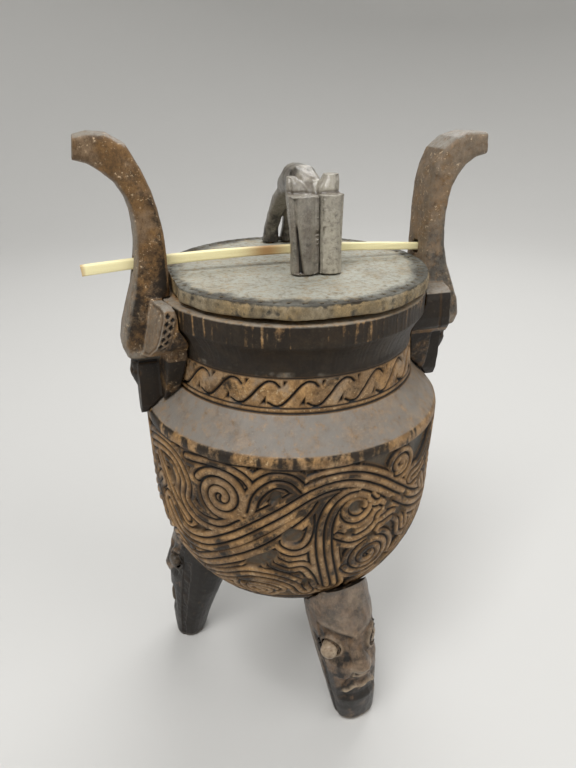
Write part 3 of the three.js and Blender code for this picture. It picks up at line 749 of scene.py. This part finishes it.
def carve_belly(skin):
    p, z = skin.p, skin.z
    wavy_top = RELIEF_TOP_Z + 0.8 * noise(p * [1, 1, 0], 30, 2, 1)
    carved = skin.outside & (z < wavy_top) & (z > RELIEF_LOW_Z)
    depth, cut, ground, shade = relief(p[carved])
    fade = smooth(RELIEF_LOW_Z, RELIEF_LOW_Z + 2, z[carved])
    skin.depth[carved] += depth * fade
    skin.cut[carved] = cut * fade
    skin.ground[carved] = ground * fade
    belly = skin.outside & (z < BELLY_EDGE_Z + 0.5)
    for offset in (wavy_top - z, z - RELIEF_LOW_Z):
        line_cut(skin, belly, offset, 0.7, 0.5, 1.0, 0.55)
    skin.char += belly * (0.2 + noise(p, 20, 3, 5))
    skin.char[carved] += shade
    plain = belly & (z > wavy_top)
    sooty_side = smooth(0.6, 0.2, np.cos(skin.angle[plain] - math.radians(-65)))
    skin.char[plain] = 0.25 + 1.5 * noise(p[plain] * [1, 1, 0.25], 12, 4, 3) + 0.55 * sooty_side
    bowl = skin.outside & (z < RELIEF_LOW_Z)
    skin.char[bowl] = 0.75 + 0.2 * noise(p[bowl], 20, 13, 2)


def finish_shoulder(skin):
    shoulder = skin.outside & (skin.z > BELLY_EDGE_Z + 0.3) & (skin.z < NECK_LOW[1] - 0.4)
    p = skin.p[shoulder]
    warm = smooth(0.3, 1.0, np.cos(skin.angle[shoulder] - math.radians(-30)))
    skin.char[shoulder] = 0.12 - 0.1 * warm + 0.4 * noise(p, 22, 14, 3)
    # Painted sheen: a grey satin reflection over the shoulder, less on the warm side
    skin.sheen[shoulder] = np.clip(1.0 - 0.25 * warm + 0.35 * noise(p, 18, 15, 3), 0, 1)
    skin.depth[shoulder] += 0.12 * noise(p, 9, 5, 2) + 0.12


def carve_neck(skin):
    neck = skin.outside & (skin.z >= NECK_LOW[1] - 0.4) & (skin.z < NECK_TOP[1] + 0.5)
    p = skin.p[neck]
    z = skin.z[neck]
    low, high = NECK_BAND
    wave_depth, wave_cut = neck_waves(np.degrees(skin.angle[neck]), z)
    skin.depth[neck] += WAVE_DEPTH * wave_depth + 0.12 * noise(p, 3.5, 16, 2)
    skin.cut[neck] = wave_cut
    # Darker above the waves, as painted shade under the collar, and lighter below them
    border = smooth(high - 0.2, high + 0.2, z) - 0.5 * smooth(low + 0.2, low - 0.2, z)
    skin.char[neck] = 0.16 + 0.5 * noise(p, 14, 6, 4) + 0.8 * border
    skin.pale[neck] = 0.5 * smooth(0.1, 0.7, noise(p, 10, 17, 3))
    for line in (NECK_LOW[1], low, high):
        line_cut(skin, neck, skin.z - line, 0.5, 0.45, 0.9, 0.5)


def finish_collar(skin):
    """The collar is black, with upright streaks, and the cove under it is black as painted shade.
    Its top is pale and worn.
    """
    collar = skin.outside & (skin.z > NECK_TOP[1] + 0.5)
    p = skin.p[collar]
    round_collar = skin.angle[collar] * COLLAR_RADIUS
    streaks = noise(np.stack([round_collar, 0 * round_collar, p[:, 2] * 0.06], 1), 2.4, 7, 2)
    skin.depth[collar] += 0.16 + 0.16 * streaks
    skin.char[collar] = 1.1 + 0.85 * streaks - 0.35 * np.maximum(0, noise(p, 22, 8, 2))
    # Painted shade: the cove under the collar is painted black
    skin.char[collar & (skin.z < COLLAR_LOW_Z)] = 1.3
    top = skin.outside & (skin.z > COLLAR_TOP_Z - 0.9)
    skin.char[top] = 0.2
    skin.pale[top] = 0.9


def make_pot():
    skin = pot_skin()
    carve_belly(skin)
    finish_shoulder(skin)
    carve_neck(skin)
    finish_collar(skin)
    skin.char[~skin.outside] = 0.3
    skin.depth[~skin.outside] = 0
    points = skin.p - skin.n * np.maximum(skin.depth, 0)[:, None]
    piece = mesh_piece("pot_carved", points, grid_faces(skin.rows, POT_COLUMNS), POT_WOOD)
    set_fields(piece, **{key: getattr(skin, key) for key in FIELDS})
    stand_in(piece, "pot", "pot_body")


# Handles
def carve_ears(side, p, n):
    """Borders and drilled dots of a handle's ears, and where the ears and their ends are."""
    y = np.abs(p[:, 1])
    drop = EAR_TOPS[side] - p[:, 2]
    reach = COLLAR_RADIUS + EAR_REACHES[side] + EAR_FLARES[side] * (COLLAR_TOP_Z - p[:, 2])
    inset = reach - np.hypot(p[:, 0], p[:, 1])
    level = smooth(-0.6, 0.2, drop) * smooth(25, 23.5, drop)
    ear = smooth(*EAR_START, y) * level * smooth(0.2, 0.5, side * n[:, 0]) * (inset < 2)
    end = smooth(22.5, 23.5, y) * level * smooth(0.45, 0.7, np.abs(n[:, 1]))
    border = ear * bell(outline_distance(y, drop, EAR_OUTLINE) - EAR_BORDER, 0.5)
    border += end * bell(inset - EAR_THICKNESS, 0.5)
    dots = np.zeros(len(p))
    for row in range(DOT_ROWS[side]):
        for u, v in DOT_PAIR:
            away = np.abs(inset - u) + 0.7 * np.abs(drop - v - DOT_STEP * row)
            dots += smooth(1.2, 0.6, away) * end
    return SimpleNamespace(border=border, dots=dots, ear=ear, end=end, inset=inset, drop=drop)


def carve_tongue(side, p, flank, outward):
    """Holes and brow line on the tongue under a handle's block."""
    out, y, z = side * p[:, 0], np.abs(p[:, 1]), p[:, 2]
    face = smooth(BLOCK_LOW_Z, BLOCK_LOW_Z - 2, z) * (z > TONGUE_LOW_Z)
    face *= (y < TONGUE_HALF_WIDTH) * (out > TONGUE_INNER_X)
    holes = sum(bell(np.hypot(y - u, z - v), HOLE_WIDTH) for u, v in TONGUE_HOLES) * face * outward
    side_hole_out = np.percentile(out[face > 0.5], 60)
    side_hole = bell(np.hypot(out - side_hole_out, z - TONGUE_SIDE_HOLE_Z), HOLE_WIDTH)
    side_hole *= face * flank
    brow = bell(z - TONGUE_BROW_Z - 0.15 * y, 0.7) * face
    return np.clip(holes + side_hole + brow, 0, 1)


def painted_edge_shade(p, flank):
    """Painted shade down the +X edge of a horn's flanks, from the collar's top up to the bend."""
    x, z = p[:, 0], p[:, 2]
    rows = np.floor(z / 3).astype(int)
    near = np.full(rows.max() + 1, np.inf)
    far = np.full(rows.max() + 1, -np.inf)
    np.minimum.at(near, rows, x)
    np.maximum.at(far, rows, x)
    across = (x - near[rows]) / (far[rows] - near[rows])
    return smooth(0.55, 1.0, across) * flank * smooth(236, 242, z) * smooth(282, 270, z)


def make_handle(side, name):
    node = f"handle_{name}"
    piece = worked(
        f"{node}_carved", node, HANDLE_WOOD, voxel=0.55, rounds=2, amount=0.3, seed=20 + side)
    p, n = points_of(piece), normals_of(piece)
    out, y, z = side * p[:, 0], np.abs(p[:, 1]), p[:, 2]
    flank = smooth(0.5, 0.9, np.abs(n[:, 1]))
    outward = smooth(0.35, 0.8, side * n[:, 0])
    inward = smooth(0.4, 0.9, -side * n[:, 0])
    level = smooth(0.6, 0.9, n[:, 2])
    ears = carve_ears(side, p, n)
    tongue = carve_tongue(side, p, flank, outward)
    facets = 0.25 * np.abs(noise(p * [1, 1, 0.35], 6, 24 + side, 1))
    depth = facets + 0.6 * ears.border + np.clip(ears.dots, 0, 1) + 1.1 * tongue
    horn = smooth(BLOCK_LOW_Z - 1, BLOCK_LOW_Z + 3, z) * (y < BLOCK_HALF_WIDTH)
    tip = smooth(280, 292, z) * smooth(78, 88, out)
    # block_rim is a pale band along the block's lower edge: wear, and a painted highlight
    block_rim = bell(z - BLOCK_LOW_Z - 2, 2.2) * (out > 64) * (y < BLOCK_HALF_WIDTH)
    shelf = level * (y > EAR_START[0]) * (np.abs(ears.drop) < 1.6)
    # The dark +X edge of the flanks is painted shade
    char = 0.2 + 0.55 * painted_edge_shade(p, flank) + 0.4 * noise(p * [1, 1, 0.5], 18, 22 + side, 4)
    char += 0.35 * smooth(262, 236, z) * flank * (y < 13) - 0.25 * inward - 0.6 * tip
    char += (1 - horn) * (0.55 + 0.3 * smooth(10.4, 9.4, y)) * (z < BLOCK_LOW_Z)
    # The end faces of the ears are dark as painted shade: all of the right one, and on the left one
    # the part inside its dotted strip
    char += ears.end * (0.35 * smooth(5, 6, ears.inset) if side < 0 else 0.9)
    char -= 0.5 * block_rim + 0.6 * shelf
    pale = 0.5 * ears.ear + 0.6 * outward * horn + 0.8 * block_rim + 0.9 * shelf
    # The upward faces of the horn tips are pale: a painted sheen
    pale += 0.9 * smooth(0.5, 0.9, n[:, 2]) * (z > 285)
    # The whole right horn is paler as painted light; on the left handle the dotted strip of the
    # ear's end is paler
    pale += 0.35 * (horn if side > 0 else ears.end * (ears.inset < EAR_THICKNESS))
    cut = np.clip(0.5 * ears.border + ears.dots + tongue, 0, 1)
    carve(piece, depth, char=char, pale=np.clip(pale, 0, 1), cut=cut)
    stand_in(piece, "pot", node)


# Legs
def mask_relief(t, z, eye, facing, nx):
    """A carved mask's depth, cut and pale at points t across it and eye from the nearer eye. The
    pale is painted highlight on the raised parts.
    """
    side = np.abs(t)
    nose_half = np.interp(z, *zip(*NOSE_OUTLINE))
    nose = smooth(nose_half + 1.4, nose_half + 0.2, side) * (z > 41) * (z < 75)
    brow_line = BROW_Z + 0.6 * side - 0.012 * side ** 2
    below = smooth(0, 1.2, brow_line - z)
    socket = below * smooth(50, 58, z) * (1 - nose)
    eye_rim = bell(eye - EYE_RIM_RADIUS, 1.3)
    eye_cut = bell(eye - EYE_CUT_RADIUS, 0.45)
    mouth_line = MOUTH_Z + 2.2 * np.sin(np.pi * np.minimum(side, 10) / 9) ** 2 - 0.03 * side ** 2
    mouth = bell(z - mouth_line, 1.25) * smooth(11.5, 9.5, side)
    lip_zone = smooth(20, 25, z) * smooth(42, 39, z) * smooth(12.5, 9.5, side)
    crease = bell(z - (mouth_line - 2.3), 0.7) * smooth(10.5, 8.5, side)
    fold = bell(side - (5.2 + (46 - z) * 0.36), 0.8) * smooth(31, 35, z) * smooth(49, 45, z)
    nostril = bell(np.hypot(side - NOSTRIL_SIDE, z - NOSTRIL_Z), 1.2)
    depth = SOCKET_DEPTH * socket * (1 - 0.75 * eye_rim) + 0.5 * eye_cut
    depth += LIP_DEPTH * lip_zone * (1 - mouth)
    depth += 0.8 * crease + 0.7 * fold + 1.2 * nostril
    cut = bell(brow_line - z - 0.9, 1.3) * (1 - nose) * smooth(14, 12, side)
    cut += 0.9 * eye_cut + nostril + 0.9 * crease + 0.5 * fold
    # Pale on the lip, above the brow line, on the lower nose and on the eye rims: painted
    # highlights
    pale = 0.8 * mouth + 0.3 * bell(z - brow_line - 1.5, 1.5) + 0.6 * nose * smooth(54, 48, z)
    pale += 0.4 * eye_rim * below
    mask_edge = 0.7 * bell(nx - 0.1, 0.07) * (z < 66)
    return facing * depth + mask_edge, facing * cut + mask_edge, facing * pale


def round_top(piece, p, outward, direction):
    """Draws a leg's top in towards the belly, in a round curve from LEG_ROUND_Z up."""
    z = p[:, 2]
    rise = np.clip((z - LEG_ROUND_Z) / (z.max() - LEG_ROUND_Z), 0, 1)
    drawn = 1 - np.sqrt(np.clip(1 - 0.9 * rise ** 2, 0, 1))
    inward = drawn * np.maximum(outward - belly_radius(z) - 0.5, 0)
    move_points(piece, p - inward[:, None] * direction)


def make_leg(name, azimuth, lean, reach, dark):
    node = f"leg_{name}"
    piece = worked(
        f"{node}_carved", node, LEG_WOOD, voxel=0.5, rounds=2, amount=0.25, seed=30 + len(name))
    p, n = points_of(piece), normals_of(piece)
    z = p[:, 2]
    c, s = math.cos(math.radians(azimuth)), math.sin(math.radians(azimuth))
    outward = p[:, 0] * c + p[:, 1] * s
    sideways = p[:, 1] * c - p[:, 0] * s
    nx = n[:, 0] * c + n[:, 1] * s
    facing = smooth(0.15, 0.5, nx)
    turn = math.radians(EYE_TURN)
    past_hub = outward - EYE_HUB_R - reach * (1 - EYE_Z / LEG_HIP_Z)
    eye = np.hypot(np.abs(sideways) * math.cos(turn) - past_hub * math.sin(turn), z - EYE_Z)
    t = sideways - lean * (1 - z / LEG_LEAN_Z) * smooth(68, 54, z)
    depth, cut, pale = mask_relief(t, z, eye, facing, nx)
    round_top(piece, p, outward, np.array([c, s, 0]))
    depth += 0.25 * np.abs(noise(p * [1, 1, 0.4], 7, 36, 1))
    chin = smooth(42, 18, z + 5 * noise(p, 11, 34, 3))
    top_end = smooth(0.45, 0.8, n[:, 2]) * smooth(74, 80, z)
    forehead_sheen_share = np.clip(1.2 - dark + 0.6 * noise(p, 14, 33, 2), 0, 1)
    # brow is where the forehead gets a painted sheen, a satin reflection laid into the colour
    brow = facing * smooth(BROW_Z, BROW_Z + 8, z) * forehead_sheen_share
    pale = np.clip(pale + 0.5 * smooth(4, 1, z), 0, 1) * (1.4 - dark)
    char = dark + 0.75 * noise(p, 10, 31, 4) + 0.5 * chin + 0.5 * top_end - 0.6 * pale
    char -= facing * (0.2 * smooth(40, 50, z) + 0.3 * smooth(68, 74, z))
    carve(piece, depth, char=char, pale=pale, sheen=0.35 * brow, cut=np.clip(cut, 0, 1))
    stand_in(piece, "pot", node)


def make_eye(name, dark):
    """One of a leg's two round eye pegs, paler than the leg."""
    piece = worked(f"{name}_peg", name, LEG_WOOD, voxel=0.35, rounds=4, amount=0.15, seed=40)
    count = len(piece.data.vertices)
    set_fields(piece, pale=np.full(count, 1.1 - dark), char=np.full(count, dark - 0.25))
    stand_in(piece, "pot", name)


# Lid, figure and stick
def make_lid():
    piece = worked("lid_carved", "lid", LID_WOOD, voxel=0.6, rounds=2, amount=0.2, seed=50)
    p, n = points_of(piece), normals_of(piece)
    x, y, z = p[:, 0] - LID_CENTRE[0], p[:, 1] - LID_CENTRE[1], p[:, 2]
    r = np.hypot(x, y)
    angle = np.arctan2(y, x)
    top = smooth(0.6, 0.9, n[:, 2]) * (z > LID_TOP_Z - 3)
    edge = (1 - top) * (r > LID_RADIUS - 4) * (z > LID_EDGE_LOW_Z)
    round_edge = EDGE_NOISE_RADIUS * np.stack([np.cos(angle), np.sin(angle), 0 * angle], 1)
    ragged = 0.7 + 0.7 * noise(round_edge, 26, 53, 2)
    nearest = (angle * NOTCH_COUNT / (2 * math.pi) + 0.2 * noise(p, 20, 54, 1)) % 1.0 - 0.5
    along = np.abs(nearest) * 2 * math.pi * r / NOTCH_COUNT
    inset = r - (LID_RADIUS - NOTCH_INSET) + 0.8 * noise(p, 30, 55, 1)
    wedge = np.minimum(inset + 1.2, (1.1 - along) * 1.2 - 0.45 * inset)
    notch = smooth(0.0, 0.5, np.minimum(1.5 - inset, wedge)) * top
    scrape = np.abs(noise(p * [1, 0.12, 0], 3.0, 56, 2))
    chisel = noise(p * [1, 1, 0.15], 2.2, 57, 2)
    depth = edge * ragged + top * (0.15 + 0.2 * scrape + 0.9 * notch) + edge * 0.15 * chisel
    ring = smooth(LID_RADIUS - 12, LID_RADIUS - 4, r + 3 * noise(p, 24, 59, 2))
    char = top * (0.1 + 0.9 * ring + 0.4 * noise(p, 12, 51, 4))
    char += edge * (0.2 + 0.6 * noise(p * [1, 1, 0.6], 5, 52, 3))
    pale = top * (1.0 - 0.75 * ring + 0.4 * noise(p, 20, 58, 2)) + 0.1 * edge
    carve(piece, depth, char=char, pale=np.clip(pale, 0, 1), cut=notch)
    stand_in(piece, "lid", "lid")


def make_figure():
    """The figure: two round front columns with a seam, one with a split prong, and a dark back."""
    piece = worked(
        "lid_figure_carved", "lid_figure", FIGURE_WOOD, voxel=0.42, rounds=2, amount=0.15, seed=60)
    p, n = points_of(piece), normals_of(piece)
    x, y, z = p[:, 0], p[:, 1], p[:, 2] - LID_TOP_Z
    front = smooth(-9, -12, y)
    back = smooth(-9, -5, y)
    facing = smooth(0.2, 0.6, -n[:, 1])
    from_seam = x - SEAM_X
    prong_width = 0.5 + 0.045 * np.maximum(20 - z, 0)
    prong = bell(x + 2.9 + 0.117 * z, prong_width) * front * smooth(24, 18, z) * facing
    seam = bell(from_seam, 0.9) * front * smooth(33, 30, z) * facing

    # The solid's gap at the seam is closed to a line
    closing = front * smooth(0.3, 0.7, np.abs(n[:, 0])) * (np.abs(from_seam) < SEAM_REACH)
    closing *= smooth(35, 33, z)
    closed = p.copy()
    closed[:, 0] += closing * (0.1 * np.sign(from_seam) - from_seam)
    move_points(piece, closed)

    (left_middle, left_half), (right_middle, right_half) = COLUMNS
    middle = np.where(x < SEAM_X, left_middle, right_middle)
    half = np.where(x < SEAM_X, left_half, right_half)
    rounding = 1.5 * np.clip(np.abs(x - middle) / half, 0, 1) ** 2.5 * front * facing
    facet = np.abs(noise(p * [1, 1, 0.12], 4.0, 62, 1))
    ledge = front * bell(z - LEDGE_HEIGHT, 0.6)
    depth = 0.35 * facet + 1.6 * prong + 0.4 * seam + 0.3 * ledge + rounding
    streaks = noise(p * [1, 1, 0.12], 3.4, 63, 3)
    char = 0.1 + 0.34 * noise(p, 12, 61, 3)
    char += back * (0.35 * smooth(28, 34, z) + 0.5 * smooth(20, 10, z))
    char += front * (0.2 * smooth(24, 8, z) + 0.3 * np.maximum(0, streaks))
    level = smooth(0.5, 0.9, n[:, 2])
    # The right column and the level faces are paler as painted highlights; the rest of pale is dust
    # and streaks
    pale = front * (0.7 * smooth(5.6, 6.8, x) + 0.2) + 0.3 * level + 0.3 * streaks
    # Painted sheen on the upper front of the columns
    sheen = 0.4 * front * smooth(16, 34, z)
    cut = np.clip(prong + 0.8 * seam + 0.5 * ledge, 0, 1)
    carve(piece, depth, char=char, sheen=sheen, pale=np.clip(pale, 0, 1), cut=cut)
    stand_in(piece, "lid", "lid_figure")


def make_stick():
    """The bamboo strip, browned at its left end, beside the left horn and inside the figure."""
    piece = worked(
        "stick_split", "locking_stick", BAMBOO, voxel=0.35, rounds=1, amount=0.08, seed=70)
    p = points_of(piece)
    x = p[:, 0]
    fibre = np.abs(noise(p * [0.04, 1, 1], 1.2, 71, 1))
    char = 0.85 * bell(x + 12, 9) + 0.5 * bell(x + 66, 5) + 0.6 * smooth(-91, -93, x)
    carve(piece, 0.12 * fibre, char=np.clip(char, 0, 1), cut=0.4 * fibre)
    stand_in(piece, "stick", "locking_stick")


make_pot()
make_handle(-1, "left")
make_handle(1, "right")
for leg_name, (leg_azimuth, leg_lean, leg_reach, leg_dark) in LEGS.items():
    make_leg(leg_name, leg_azimuth, leg_lean, leg_reach, leg_dark)
    make_eye(f"leg_{leg_name}_eye_left", leg_dark)
    make_eye(f"leg_{leg_name}_eye_right", leg_dark)
make_lid()
make_figure()
make_stick()

# The pegs inside keep their solids
for node_name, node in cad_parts.items():
    if "peg" in node_name:
        node.data.materials.clear()
        node.data.materials.append(PEG_WOOD)


# Stage, light and camera
def make_backdrop():
    """A pale round floor that curves up into a wall all round the piece."""
    profile = [(0, 0), (FLOOR_RING, 0), (FLOOR_RADIUS, 0)]
    for a in np.radians(range(9, 91, 9)):
        profile.append((FLOOR_RADIUS + SWEEP * math.sin(a), SWEEP - SWEEP * math.cos(a)))
    profile.append((FLOOR_RADIUS + SWEEP, WALL_HEIGHT))
    turns = np.radians(np.arange(0, 360, 360 / WALL_COLUMNS))
    points = [(r * math.cos(a), r * math.sin(a), z) for r, z in profile for a in turns]
    paper = finished(new_material("pale_paper"), linear(PAPER_COLOUR), 0.9)
    mesh_piece("backdrop", points, grid_faces(len(profile), WALL_COLUMNS), paper)


def area_light(name, energy, size, azimuth, elevation, distance):
    data = bpy.data.lights.new(name, "AREA")
    data.energy = energy
    data.size = size
    light = bpy.data.objects.new(name, data)
    a, e = math.radians(azimuth), math.radians(elevation)
    back = Vector((math.sin(a) * math.cos(e), -math.cos(a) * math.cos(e), math.sin(e)))
    light.location = Vector((0, 0, LIGHT_AIM_Z * MM)) + back * distance
    light.rotation_mode = "QUATERNION"
    light.rotation_quaternion = (-back).to_track_quat("-Z", "Y")
    bpy.context.scene.collection.objects.link(light)


def make_world():
    """A world that the camera sees as near white and that adds little light to the object."""
    world = bpy.data.worlds.new("studio")
    world.use_nodes = True
    background = world.node_tree.nodes["Background"]
    background.inputs["Color"].default_value = linear(WORLD_COLOUR)
    seen = add_node(world, "ShaderNodeLightPath").outputs["Is Camera Ray"]
    levels = {"Value": seen, "To Min": WORLD_LIGHT, "To Max": WORLD_SEEN}
    strength = add_node(world, "ShaderNodeMapRange", levels)
    world.node_tree.links.new(strength.outputs["Result"], background.inputs["Strength"])
    bpy.context.scene.world = world


def make_camera():
    data = bpy.data.cameras.new("camera")
    data.sensor_width = SENSOR_MM
    data.lens = SENSOR_MM * CAMERA_FOCAL_PX / PHOTO_LONG_SIDE_PX
    data.clip_start = 0.01
    data.clip_end = 50
    camera = bpy.data.objects.new("camera", data)
    pitch, yaw, roll = (math.radians(v) for v in (CAMERA_PITCH, CAMERA_YAW, CAMERA_ROLL))
    flat = math.cos(pitch)
    forward = Vector((math.sin(yaw) * flat, math.cos(yaw) * flat, -math.sin(pitch)))
    level = forward.cross(Vector((0, 0, 1))).normalized()
    upright = level.cross(forward)
    right = level * math.cos(roll) + upright * math.sin(roll)
    up = upright * math.cos(roll) - level * math.sin(roll)
    axes = Matrix((right, up, -forward)).transposed()
    turn = Matrix.Rotation(math.radians(CAMERA_AZIMUTH), 3, "Z")
    place = turn @ Vector((0, -CAMERA_DISTANCE, CAMERA_HEIGHT)) * MM
    camera.matrix_world = Matrix.LocRotScale(place, turn @ axes, None)
    bpy.context.scene.collection.objects.link(camera)
    bpy.context.scene.camera = camera


make_backdrop()
for light_name, light_values in LIGHTS.items():
    area_light(light_name, *light_values)
make_world()
bpy.context.scene.view_settings.view_transform = "Standard"
make_camera()
